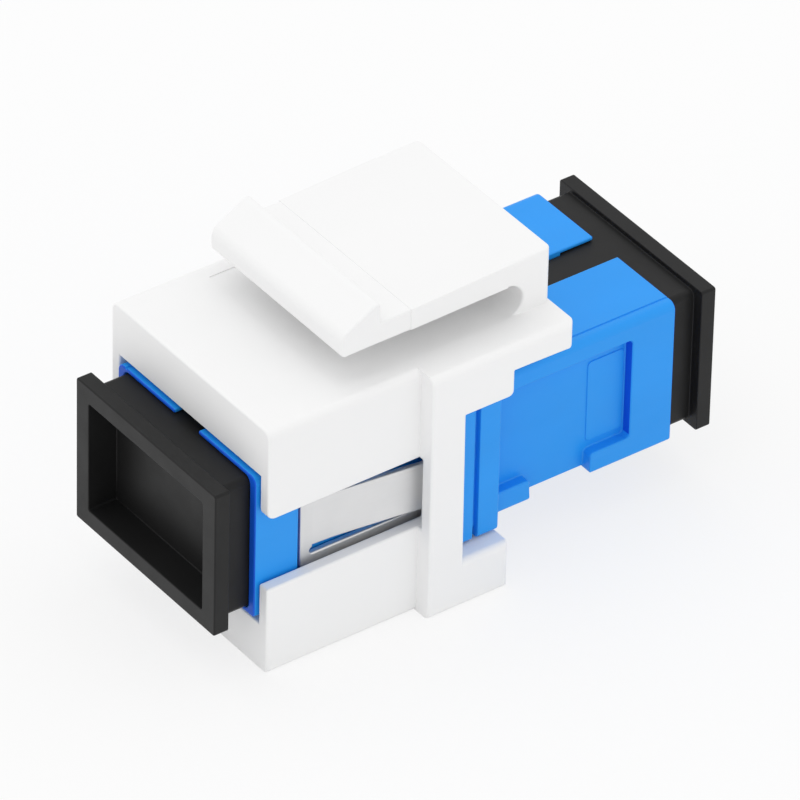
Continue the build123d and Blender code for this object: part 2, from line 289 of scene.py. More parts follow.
def settle(obj: Thing) -> None:
    """Turn an object's modifiers into plain mesh.

    Args:
        obj: The object, which keeps its name.
    """
    bpy.context.view_layer.update()
    graph = bpy.context.evaluated_depsgraph_get()
    data = bpy.data.meshes.new_from_object(obj.evaluated_get(graph), depsgraph=graph)
    obj.modifiers.clear()
    old = obj.data
    obj.data = data
    bpy.data.meshes.remove(old)


def combine(obj: Thing, other: Thing, operation: str) -> None:
    """Join or cut an object with a scratch one, which is used up.

    Args:
        obj: The object that stays.
        other: The scratch object.
        operation: UNION or DIFFERENCE.
    """
    step = obj.modifiers.new("combine", "BOOLEAN")
    step.operation = operation
    step.solver = "EXACT"
    step.object = other
    settle(obj)
    scratch = other.data
    bpy.data.objects.remove(other)
    bpy.data.meshes.remove(scratch)


def flatten(obj: Thing) -> None:
    """Merge doubles and dissolve the edges inside flat faces.

    Args:
        obj: The object to clean.
    """
    with opened(obj.data) as mesh:
        bmesh.ops.remove_doubles(mesh, verts=mesh.verts, dist=MERGE * MM)
        bmesh.ops.dissolve_limit(mesh, angle_limit=math.radians(FLAT_ANGLE), verts=mesh.verts, edges=mesh.edges)
        bmesh.ops.dissolve_degenerate(mesh, dist=SLIVER * MM, edges=mesh.edges)
        bmesh.ops.recalc_face_normals(mesh, faces=mesh.faces)


def carve(name: str, add: list[Prism], cut: list[Prism]) -> Thing:
    """Build a solid from prisms that are joined and prisms that are cut away.

    Args:
        name: The piece's name.
        add: Prisms to join, the first one being the base.
        cut: Prisms to cut away.

    Returns:
        The solid with flat faces kept whole.
    """
    solid = add[0].build()
    solid.name = name
    for prism in add[1:]:
        combine(solid, prism.build(), "UNION")
    for prism in cut:
        combine(solid, prism.build(), "DIFFERENCE")
    flatten(solid)
    return solid


# Rounded edges
@dataclass(frozen=True)
class EdgeRule:
    """Radius for the edges whose two ends lie inside a box.

    Attributes:
        radius: The radius in millimetres, or 0 to leave the edge sharp.
        x: Range of distance from the centre plane, in millimetres.
        y: Range along the jack.
        z: Range of height.
    """

    radius: float
    x: Range = EVERYWHERE
    y: Range = EVERYWHERE
    z: Range = EVERYWHERE

    def holds(self, edge: bmesh.types.BMEdge) -> bool:
        """Say whether both ends of an edge lie in the box.

        Args:
            edge: The edge.

        Returns:
            True if they do.
        """
        for vert in edge.verts:
            x, y, z = vert.co / MM
            sides = ((abs(x), self.x), (y, self.y), (z, self.z))
            if not all(low <= value <= high for value, (low, high) in sides):
                return False
        return True


def between(low: float, high: float) -> Range:
    """Give the range from just below one value to just above another."""
    return (low - SLACK, high + SLACK)


def at(value: float) -> Range:
    """Give a narrow range around one value."""
    return between(value, value)


def beyond(value: float) -> Range:
    """Give the range from just below a value outwards."""
    return (value - SLACK, FAR)


def within(value: float) -> Range:
    """Give the range from zero to just above a value."""
    return (0.0, value + SLACK)


def even_normals(mesh: bpy.types.Mesh, limit: float = 40.0) -> None:
    """Shade flat faces flat and the rounded edges between them smoothly.

    Args:
        mesh: The mesh, whose corner normals are set.
        limit: Largest angle in degrees between two faces that share a normal.
    """
    around: list[list[tuple[Vector, float]]] = [[] for _ in mesh.vertices]
    for face in mesh.polygons:
        for vert in face.vertices:
            around[vert].append((face.normal.copy(), (face.area / MM ** 2) ** 2))
    least = math.cos(math.radians(limit))
    normals = []
    for face in mesh.polygons:
        for vert in face.vertices:
            total = Vector()
            for normal, weight in around[vert]:
                if normal.dot(face.normal) > least:
                    total += normal * weight
            normals.append(total.normalized() if total.length else face.normal.copy())
    mesh.normals_split_custom_set(normals)


def soften(obj: Thing, radius: float, rules: list[EdgeRule], segments: int = 4) -> None:
    """Round a moulding's sharp edges.

    Args:
        obj: The object.
        radius: Radius of the edges that no rule names, in millimetres.
        rules: Rules for the other edges. The first that holds counts.
        segments: Steps across each rounded edge.
    """
    largest = max([radius] + [rule.radius for rule in rules])
    with opened(obj.data) as mesh:
        layer = mesh.edges.layers.float.new("bevel_weight_edge")
        for edge in mesh.edges:
            sharp = len(edge.link_faces) == 2 and edge.calc_face_angle() > math.radians(SHARP_ANGLE)
            chosen = next((rule.radius for rule in rules if rule.holds(edge)), radius)
            edge[layer] = chosen / largest if sharp else 0.0
            edge.smooth = not (sharp and chosen == 0)
        for face in mesh.faces:
            face.smooth = True
    bevel = obj.modifiers.new("edges", "BEVEL")
    bevel.limit_method = "WEIGHT"
    bevel.width = largest * MM
    bevel.segments = segments
    bevel.use_clamp_overlap = False
    bevel.loop_slide = False
    bevel.harden_normals = False
    settle(obj)
    even_normals(obj.data)


# Node trees
class Wiring:
    """Node tree with short calls for adding and joining nodes."""

    def __init__(self, tree: bpy.types.NodeTree) -> None:
        """Take the tree to work on."""
        self.tree = tree

    def fill(self, node: bpy.types.Node, inputs: dict[str | int, object]) -> None:
        """Give a node's inputs their values, or join them to sockets.

        Args:
            node: The node.
            inputs: Value or socket for each input, by its name or number.
        """
        for label, value in inputs.items():
            if isinstance(value, Socket):
                self.tree.links.new(value, node.inputs[label])
            else:
                node.inputs[label].default_value = value

    def add(self, kind: str, inputs: dict[str | int, object], **settings: str) -> bpy.types.Node:
        """Add a node.

        Args:
            kind: The node's type.
            inputs: Value or socket for each input, by its name or number.
            settings: The node's other settings.

        Returns:
            The node.
        """
        node = self.tree.nodes.new(kind)
        for label, value in settings.items():
            setattr(node, label, value)
        self.fill(node, inputs)
        return node

    def math(self, operation: str, *values: object) -> Socket:
        """Work out one operation on values or sockets."""
        return self.add("ShaderNodeMath", dict(enumerate(values)), operation=operation).outputs[0]


class GrowthTree(Wiring):
    """Geometry Nodes tree with named sizes, which grows a plain mesh."""

    def __init__(self, name: str, lengths: list[str], count: str) -> None:
        """Start a tree.

        Args:
            name: Name of the tree.
            lengths: Names of its inputs, besides the band's Thickness, Width and Edge.
            count: Name of its input for a whole number.
        """
        super().__init__(bpy.data.node_groups.new(name, "GeometryNodeTree"))
        sockets = self.tree.interface
        sockets.new_socket("Geometry", in_out="INPUT", socket_type="NodeSocketGeometry")
        sockets.new_socket("Geometry", in_out="OUTPUT", socket_type="NodeSocketGeometry")
        self.identifiers: dict[str, str] = {}
        for label in ("Thickness", "Width", "Edge", *lengths, count):
            kind = "NodeSocketInt" if label == count else "NodeSocketFloat"
            self.identifiers[label] = sockets.new_socket(label, in_out="INPUT", socket_type=kind).identifier
        self.sizes = self.add("NodeGroupInput", {}).outputs

    def sweep(self, path: Socket) -> Socket:
        """Push a flat bar's section with slightly rounded corners along a path and close its ends.

        Args:
            path: The curve to follow.

        Returns:
            The closed mesh.
        """
        section = self.add("GeometryNodeCurvePrimitiveQuadrilateral",
                           {"Width": self.sizes["Thickness"], "Height": self.sizes["Width"]})
        corners = self.add("GeometryNodeFilletCurve",
                           {"Count": 3, "Radius": self.sizes["Edge"], "Curve": section.outputs["Curve"]}, mode="POLY")
        swept = self.add("GeometryNodeCurveToMesh", {"Fill Caps": True, "Curve": path,
                                                     "Profile Curve": corners.outputs["Curve"]})
        return swept.outputs["Mesh"]

    def finish(self, shape: Socket, material: Material) -> None:
        """End the tree in real geometry with its material.

        Args:
            shape: The mesh.
            material: Its finish.
        """
        real = self.add("GeometryNodeRealizeInstances", {"Geometry": shape})
        dressed = self.add("GeometryNodeSetMaterial", {"Material": material, "Geometry": real.outputs["Geometry"]})
        self.add("NodeGroupOutput", {"Geometry": dressed.outputs["Geometry"]})

    def grow(self, name: str, path: list[Vector], sizes: dict[str, float | int]) -> Thing:
        """Run the tree once and keep its plain mesh.

        Args:
            name: Name of the piece.
            path: Points of the line to follow in metres, or nothing where the tree draws its own.
            sizes: Value of each named input.

        Returns:
            The linked object with no modifier left.
        """
        data = bpy.data.meshes.new(name)
        data.from_pydata([tuple(p) for p in path], [(i, i + 1) for i in range(len(path) - 1)], [])
        made = placed(name, data)
        grown = made.modifiers.new("growth", "NODES")
        grown.node_group = self.tree
        for label, value in sizes.items():
            grown[self.identifiers[label]] = value
        settle(made)
        with opened(made.data) as mesh:
            bmesh.ops.remove_doubles(mesh, verts=mesh.verts, dist=MERGE * MM)
            bmesh.ops.recalc_face_normals(mesh, faces=mesh.faces)
            for face in mesh.faces:
                face.material_index = 0
        return made


def band_tree(material: Material) -> GrowthTree:
    """Build the tree of a sheet band that follows a bent line.

    Args:
        material: Finish of the band.

    Returns:
        The tree, whose inputs are Thickness, Width, Edge, Bend and Bend Steps.
    """
    tree = GrowthTree("sheet_band", ["Bend"], "Bend Steps")
    line = tree.add("GeometryNodeMeshToCurve", {"Mesh": tree.sizes["Geometry"]})
    bent = tree.add("GeometryNodeFilletCurve",
                    {"Limit Radius": True, "Curve": line.outputs["Curve"], "Radius": tree.sizes["Bend"],
                     "Count": tree.sizes["Bend Steps"]}, mode="POLY")
    tree.finish(tree.sweep(bent.outputs["Curve"]), material)
    return tree


def split_tube_tree(material: Material) -> GrowthTree:
    """Build the tree of a tube along the jack with one slit along its top.

    Args:
        material: Finish of the tube.

    Returns:
        The tree, whose inputs are Thickness, Width, Edge, Radius, Slit Angle, Steps and Height.
    """
    tree = GrowthTree("split_tube", ["Radius", "Slit Angle", "Height"], "Steps")
    slit = tree.sizes["Slit Angle"]
    start = tree.math("MULTIPLY_ADD", slit, 0.5, math.pi / 2)
    ring = tree.add("GeometryNodeCurveArc",
                    {"Resolution": tree.sizes["Steps"], "Radius": tree.sizes["Radius"], "Start Angle": start,
                     "Sweep Angle": tree.math("SUBTRACT", 2 * math.pi, slit)})
    lift = tree.add("ShaderNodeCombineXYZ", {"Z": tree.sizes["Height"]})
    laid = tree.add("GeometryNodeTransform",
                    {"Geometry": tree.sweep(ring.outputs["Curve"]), "Rotation": (math.pi / 2, 0.0, 0.0),
                     "Translation": lift.outputs["Vector"]})
    tree.finish(laid.outputs["Geometry"], material)
    return tree


# Finishes
class Shader(Wiring):
    """A material's node tree with short calls for what the finishes share."""

    def __init__(self, name: str) -> None:
        """Start a material with a Principled shader.

        Args:
            name: Name of the material.
        """
        self.material = bpy.data.materials.new(name)
        self.material.use_nodes = True
        super().__init__(self.material.node_tree)
        self.surface = self.tree.nodes["Principled BSDF"]
        self.place = self.add("ShaderNodeTexCoord", {}).outputs["Object"]

    def noise(self, scale: float, detail: float, stretch: Triple | None = None) -> Socket:
        """Add a noise pattern on object coordinates.

        Args:
            scale: Features per metre.
            detail: Number of finer layers.
            stretch: Factor on each coordinate.

        Returns:
            The noise value.
        """
        place = self.place
        if stretch:
            place = self.add("ShaderNodeMapping", {"Scale": stretch, "Vector": place}).outputs["Vector"]
        return self.add("ShaderNodeTexNoise", {"Scale": scale, "Detail": detail, "Vector": place}).outputs["Fac"]

    def spread(self, value: Socket, low: float, high: float) -> Socket:
        """Map the middle of a noise value to a range."""
        limits = {"From Min": 0.3, "From Max": 0.7, "To Min": low, "To Max": high}
        return self.add("ShaderNodeMapRange", limits | {"Value": value}).outputs["Result"]

    def tones(self, value: Socket, colour: Triple, low: float, high: float) -> None:
        """Colour the surface between a darker and a lighter tone of a colour.

        Args:
            value: The pattern.
            colour: The middle colour.
            low: Factor of the darker tone.
            high: Factor of the lighter tone.
        """
        ramp = self.add("ShaderNodeValToRGB", {"Fac": value})
        stops = ramp.color_ramp.elements
        for stop, position, factor in ((stops[0], 0.35, low), (stops[1], 0.65, high)):
            stop.position = position
            stop.color = (*(min(1.0, c * factor) for c in colour), 1)
        self.fill(self.surface, {"Base Color": ramp.outputs["Color"]})

    def bump(self, height: Socket, strength: float, distance: float,
             under: Socket | None = None) -> Socket:
        """Add surface relief.

        Args:
            height: The relief pattern.
            strength: Share of the relief that shows.
            distance: Depth of the relief in metres.
            under: Normal of a coarser relief below this one.

        Returns:
            The bent normal.
        """
        inputs = {"Strength": strength, "Distance": distance, "Height": height}
        return self.add("ShaderNodeBump", inputs | ({"Normal": under} if under else {})).outputs["Normal"]


@dataclass(frozen=True)
class MouldedPlastic:
    """Injection-moulded plastic with a fine spark-eroded grain and faint flow tones.

    Attributes:
        name: Name of the material.
        colour: Linear colour.
        roughness: Middle roughness.
        grain: Features of the grain per metre.
        relief: Depth of the grain in metres.
        waves: Features per metre of a coarser relief, three times as deep.
        flow: Features of the colour's drift per metre.
        flow_stretch: Factor on each of its coordinates.
        tone: Share by which the colour drifts.
        patches: Features of the roughness's drift per metre.
        drift: Amount by which the roughness drifts.
        glow: Share of light that scatters under the surface.
        specular: Level of the surface reflection.
    """

    name: str
    colour: Triple
    roughness: float
    grain: float = 9000.0
    relief: float = 0.000004
    waves: float = 420.0
    flow: float = 140.0
    flow_stretch: Triple = (1.0, 0.45, 1.3)
    tone: float = 0.02
    patches: float = 700.0
    drift: float = 0.04
    glow: float = 0.0
    specular: float = 0.5

    def material(self) -> Material:
        """Build the material.

        Returns:
            The material.
        """
        shader = Shader(self.name)
        shader.tones(shader.noise(self.flow, 3.0, self.flow_stretch), self.colour, 1 - self.tone, 1 + self.tone)
        waves = shader.bump(shader.noise(self.waves, 2.0), 0.25, self.relief * 3)
        shader.fill(shader.surface, {
            "Roughness": shader.spread(shader.noise(self.patches, 4.0), self.roughness - self.drift,
                                       self.roughness + self.drift),
            "Normal": shader.bump(shader.noise(self.grain, 3.0), 0.5, self.relief, waves),
            "Specular IOR Level": self.specular,
        })
        if self.glow:
            shader.fill(shader.surface, {"Subsurface Weight": self.glow, "Subsurface Scale": 0.0006,
                                         "Subsurface Radius": (1.0, 0.9, 0.8)})
        return shader.material


@dataclass(frozen=True)
class WorkedSurface:
    """Rolled or ground surface with fine marks that all run one way.

    Attributes:
        name: Name of the material.
        colour: Linear colour.
        roughness: Lowest and highest roughness.
        marks: Marks per metre along each axis.
        detail: Number of finer layers of marks.
        relief: Depth of the marks in metres.
        strength: Share of the relief that shows.
        clouds: Features of the tones per metre.
        tones: Factors of the darker and the lighter tone.
        metallic: Share of the surface that is bare metal.
        glow: Share of light that scatters under the surface.
    """

    name: str
    colour: Triple
    roughness: Range
    marks: Triple
    detail: float
    relief: float
    strength: float
    clouds: float
    tones: Range
    metallic: float = 0.0
    glow: float = 0.0

    def material(self) -> Material:
        """Build the material.

        Returns:
            The material.
        """
        shader = Shader(self.name)
        marks = shader.noise(1.0, self.detail, self.marks)
        shader.tones(shader.noise(self.clouds, 3.0), self.colour, *self.tones)
        shader.fill(shader.surface, {
            "Roughness": shader.spread(marks, *self.roughness),
            "Normal": shader.bump(marks, self.strength, self.relief),
            "Metallic": self.metallic,
            "Subsurface Weight": self.glow,
            "Subsurface Scale": 0.0004,
        })
        return shader.material


WHITE = MouldedPlastic("white_moulding", (0.91, 0.91, 0.91), 0.5, tone=0.006)
BLUE = MouldedPlastic("blue_moulding", (0.017, 0.32, 0.9), 0.42, tone=0.03, specular=0.3)
# Darker, shaded copy of the blue moulding: painted shade for the mouth's lip and the side recess's end wall.
PAINTED_SHADE_BLUE = MouldedPlastic("blue_moulding_painted_shade", (0.006, 0.11, 0.72), 0.42, tone=0.03, specular=0.2)
BLACK = MouldedPlastic("black_moulding", (0.0125, 0.0125, 0.0127), 0.44, tone=0.08, specular=0.21)
NATURAL = MouldedPlastic("natural_moulding", (0.74, 0.73, 0.68), 0.4, glow=0.2)
STEEL = WorkedSurface("spring_steel", (0.74, 0.74, 0.742), (0.38, 0.46), (9000.0, 260.0, 9000.0), 4.0,
                      0.0000003, 0.03, 600.0, (0.985, 1.01), metallic=0.85)
CERAMIC = WorkedSurface("zirconia", (0.87, 0.87, 0.83), (0.12, 0.24), (500.0, 14000.0, 500.0), 3.0,
                        0.000001, 0.2, 900.0, (0.97, 1.02), glow=0.2)


def dress(obj: Thing, *materials: Material) -> None:
    """Give an object its materials.

    Args:
        obj: The object.
        materials: The materials, the first one being that of the whole piece.
    """
    obj.data.materials.clear()
    for material in materials:
        obj.data.materials.append(material)


def seat(obj: Thing, node: str, body: str, slot: str) -> None:
    """Let a finished piece stand for a CAD node.

    Args:
        obj: The piece.
        node: The node that it replaces.
        body: The body that it rides on.
        slot: The record's material slot; not used.
    """
    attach(obj, body)
    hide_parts(node)
    LOG.info("%s: %d faces, rides on %s, for %s", obj.name, len(obj.data.polygons), body, node)


# Keystone housing and its latch
@dataclass
class Latch:
    """Flexing arm with its head, tooth and nose, and the root that carries it."""

    lift: float = 1.98
    nose_lift: float = 1.8
    root_thickness: float = 1.46
    root_rise: float = 0.11
    shoulder_thickness: float = 1.33
    head_length: float = 4.49
    head_inset: float = 0.05
    nose_height: float = 1.36
    tooth_rear: float = -5.65
    tooth_height: float = 1.22
    tooth_flat: float = 0.3
    tooth_rear_radius: float = 0.15
    tooth_radius: float = 0.42
    nose_top_radius: float = 0.75
    nose_low_radius: float = 0.3
    beam_edge: float = 0.02
    small_edge: float = 0.1
    bend_length: float = 3.2
    bend_steps: int = 8
    half: float = field(init=False)
    nose: float = field(init=False)
    cut: float = field(init=False)
    rear: float = field(init=False)

    def __post_init__(self) -> None:
        """Take the arm's length and width and the root's rear end from the CAD nodes."""
        low, high = node_box("latch_arm")
        self.half, self.nose, self.cut = high.x, low.y, high.y + SLACK
        self.rear = node_box("keystone_housing")[1].y

    def root(self) -> Prism:
        """Give the root block over the roof, before its hollow is cut.

        Returns:
            The prism along X.
        """
        base = ROOF - RECESS
        top = ROOF + self.lift + self.root_thickness
        points = [(self.cut, base), (self.rear, base), (self.rear, top + self.root_rise), (self.cut, top)]
        return across(points, self.half)

    def hollow(self) -> Prism:
        """Give the cutter of the slot's round end under the arm, in the root and the roof below it.

        Returns:
            The prism along X.
        """
        base = ROOF - RECESS
        radius = (self.lift + RECESS) / 2
        start = self.cut - OVERLAP
        curve = arc((self.cut, base + radius), radius, 90, -90, steps=20)
        return across([(start, base + 2 * radius), *curve, (start, base)], self.half)

    def build(self) -> Thing:
        """Make the arm.

        Returns:
            The finished piece.
        """
        nose_bottom = ROOF + self.nose_lift
        root_bottom = ROOF + self.lift
        shoulder = self.nose + self.head_length
        slope = (root_bottom - nose_bottom) / (self.cut - self.nose)
        shoulder_top = nose_bottom + slope * self.head_length + self.shoulder_thickness
        head_top = shoulder_top - self.head_inset / 2
        peak = head_top + self.tooth_height
        side = rounded([
            (self.nose, nose_bottom), (self.cut, root_bottom), (self.cut, root_bottom + self.root_thickness),
            (shoulder, shoulder_top), (shoulder, head_top), (self.tooth_rear, head_top), (self.tooth_rear, peak),
            (self.tooth_rear - self.tooth_flat, peak), (self.nose, nose_bottom + self.nose_height),
        ], {0: self.nose_low_radius, 6: self.tooth_rear_radius, 7: self.tooth_radius, 8: self.nose_top_radius})
        sliver = rectangle((self.nose - CLEAR, shoulder), (0, 2.5 * ROOF))
        slivers = both_sides(sliver, self.half - self.head_inset, self.half + CLEAR)
        arm = carve("latch_arm_moulding", [across(side, self.half)], slivers)
        soften(arm, self.small_edge, [
            EdgeRule(0.0, y=at(self.cut)),
            EdgeRule(0.0, y=at(shoulder)),
            EdgeRule(self.beam_edge, y=beyond(shoulder)),
        ])
        with opened(arm.data) as mesh:
            for step in range(1, self.bend_steps):
                plane = Vector((0, self.cut - self.bend_length * step / self.bend_steps, 0)) * MM
                everything = mesh.verts[:] + mesh.edges[:] + mesh.faces[:]
                bmesh.ops.bisect_plane(mesh, geom=everything, plane_co=plane, plane_no=(0, 1, 0))
        even_normals(arm.data)
        return arm


@dataclass
class KeystoneHousing:
    """White moulding: front block, collar with ledge and roof, and the latch's root."""

    latch: Latch
    block_half: float = 7.25
    bore_half: float = 6.5
    ledge_top: float = 3.0
    bore_top: float = 12.78
    roof_under: float = 14.4
    collar_front: float = -3.83
    flange_seat: float = -1.6
    ledge_rear: float = 1.57
    slot_z: Range = (5.63, 10.23)
    slot_radius: float = 0.5
    pocket_depth: float = 0.73
    pocket_half: float = 7.5
    roof_corner: float = 0.35
    long_edge: float = 0.5
    low_edge: float = 0.3
    ledge_edge: float = 0.4
    small_edge: float = 0.14
    bore_edge: float = 0.1
    collar_half: float = field(init=False)
    front: float = field(init=False)
    roof_rear: float = field(init=False)

    def __post_init__(self) -> None:
        """Take the outside from the CAD node."""
        low, high = node_box("keystone_housing")
        self.collar_half, self.front, self.roof_rear = high.x, low.y, high.y

    def collar(self) -> Prism:
        """Give collar, ledge and roof in one side outline.

        Returns:
            The prism along X.
        """
        points = [
            (self.collar_front, 0.0), (self.ledge_rear, 0.0), (self.ledge_rear, self.ledge_top),
            (self.flange_seat, self.ledge_top), (self.flange_seat, self.bore_top),
            (self.ledge_rear, self.bore_top), (self.ledge_rear, self.roof_under),
            (self.roof_rear, self.roof_under), (self.roof_rear, ROOF), (self.collar_front, ROOF),
        ]
        return across(rounded(points, {5: self.roof_corner, 7: self.roof_corner}), self.collar_half)

    def slot(self) -> Prism:
        """Give the cutter of the side slots, open at the front with a rounded upper corner.

        Returns:
            The prism along X.
        """
        start = self.front - CLEAR
        low, high = self.slot_z
        flare_z = high + self.slot_radius
        flare = arc((self.front + self.slot_radius, flare_z), self.slot_radius, 180, 270, steps=6)
        points = [(start, low), (self.collar_front, low), (self.collar_front, high), *reversed(flare),
                  (start, flare_z)]
        return across(points, self.collar_half)

    def pocket(self, side: int) -> Prism:
        """Give the cutter of the pocket in the collar's front face for one leaf.

        Args:
            side: Sign of its X.

        Returns:
            The prism along Y.
        """
        ends = sorted((side * (self.bore_half - OVERLAP), side * self.pocket_half))
        return Prism(Axis.Y, rectangle(tuple(ends), self.slot_z),
                     (self.collar_front - TRIM, self.collar_front + self.pocket_depth))

    def long_corners(self) -> list[Prism]:
        """Give the cutters that round the long corners.

        Returns:
            The cutters.
        """
        whole = (self.collar_front - CLEAR, self.roof_rear + CLEAR)
        ahead = (self.front - CLEAR, self.collar_front)
        behind = (self.flange_seat, self.ledge_rear + CLEAR)
        roof = (self.bore_top, ROOF + CLEAR)
        ledge = (-CLEAR, self.ledge_top + CLEAR)
        cutters = []
        for side in (-1, 1):
            edge = side * self.collar_half
            up, down = (side, 1), (side, -1)
            cutters += [
                corner(Axis.Y, (side * self.block_half, ROOF), self.long_edge, up, ahead),
                corner(Axis.Y, (side * self.block_half, 0.0), self.low_edge, down, ahead),
                corner(Axis.Y, (edge, ROOF), self.long_edge, up, whole),
                corner(Axis.Y, (edge, 0.0), self.low_edge, down, whole),
                corner(Axis.Y, (edge, self.ledge_top), self.ledge_edge, up, behind),
                corner(Axis.Z, (edge, self.roof_rear), self.long_edge, up, roof),
                corner(Axis.Z, (edge, self.ledge_rear), self.ledge_edge, up, ledge),
                corner(Axis.Z, (side * self.latch.half, self.roof_rear), self.ledge_edge, up, (ROOF, FAR)),
            ]
        return cutters

    def edges(self) -> list[EdgeRule]:
        """Give the rules for the edges that differ from the small ones.

        Returns:
            The rules.
        """
        latch, wide = self.latch, self.collar_half
        return [
            EdgeRule(0.0, y=at(latch.cut), z=beyond(ROOF + OVERLAP)),
            EdgeRule(0.0, x=within(latch.half), y=between(latch.nose - RECESS, self.roof_rear - self.long_edge),
                     z=between(ROOF - RECESS, ROOF)),
            EdgeRule(0.0, x=beyond(wide - self.ledge_edge), y=beyond(self.ledge_rear - self.ledge_edge),
                     z=within(self.low_edge)),
            EdgeRule(0.0, x=beyond(wide - self.long_edge), y=beyond(self.roof_rear - self.long_edge),
                     z=beyond(self.roof_under)),
            EdgeRule(0.0, x=beyond(wide - self.ledge_edge), y=at(self.flange_seat), z=within(self.ledge_top)),
            EdgeRule(0.0, y=at(self.roof_rear), z=at(ROOF)),
            EdgeRule(0.0, x=within(latch.half), y=beyond(latch.cut), z=at(ROOF)),
            EdgeRule(0.0, y=at(self.collar_front), z=at(ROOF)),
            EdgeRule(0.0, y=at(self.collar_front), z=at(0.0)),
            EdgeRule(0.0, x=within(self.block_half), y=at(self.collar_front)),
            EdgeRule(self.bore_edge, x=within(self.bore_half), y=at(self.front)),
            EdgeRule(self.bore_edge, x=at(self.bore_half)),
        ]

    def build(self) -> Thing:
        """Make the moulding.

        Returns:
            The finished piece.
        """
        latch = self.latch
        block = Prism(Axis.Y, rectangle((-self.block_half, self.block_half), (0.0, ROOF)),
                      (self.front, self.collar_front + OVERLAP))
        bore = Prism(Axis.Y, rectangle((-self.bore_half, self.bore_half), (self.ledge_top, self.bore_top)),
                     (self.front - CLEAR, self.flange_seat + OVERLAP))
        under = Prism(Axis.Y, rectangle((-latch.half, latch.half), (ROOF - RECESS, ROOF + CLEAR)),
                      (latch.nose - RECESS, latch.cut))
        cuts = [bore, self.slot(), self.pocket(1), self.pocket(-1), under, latch.hollow(), *self.long_corners()]
        solid = carve("housing_moulding", [self.collar(), block, latch.root()], cuts)
        soften(solid, self.small_edge, self.edges())
        return solid


def turned(obj: Thing, facing: Facing) -> Thing:
    """Turn a piece that is drawn for the rear to the side that it faces.

    Args:
        obj: The piece, drawn for the rear.
        facing: The way it has to look.

    Returns:
        The same object.
    """
    if facing is Facing.FRONT:
        obj.data.transform(Matrix.Rotation(math.pi, 4, "Z"))
    return obj


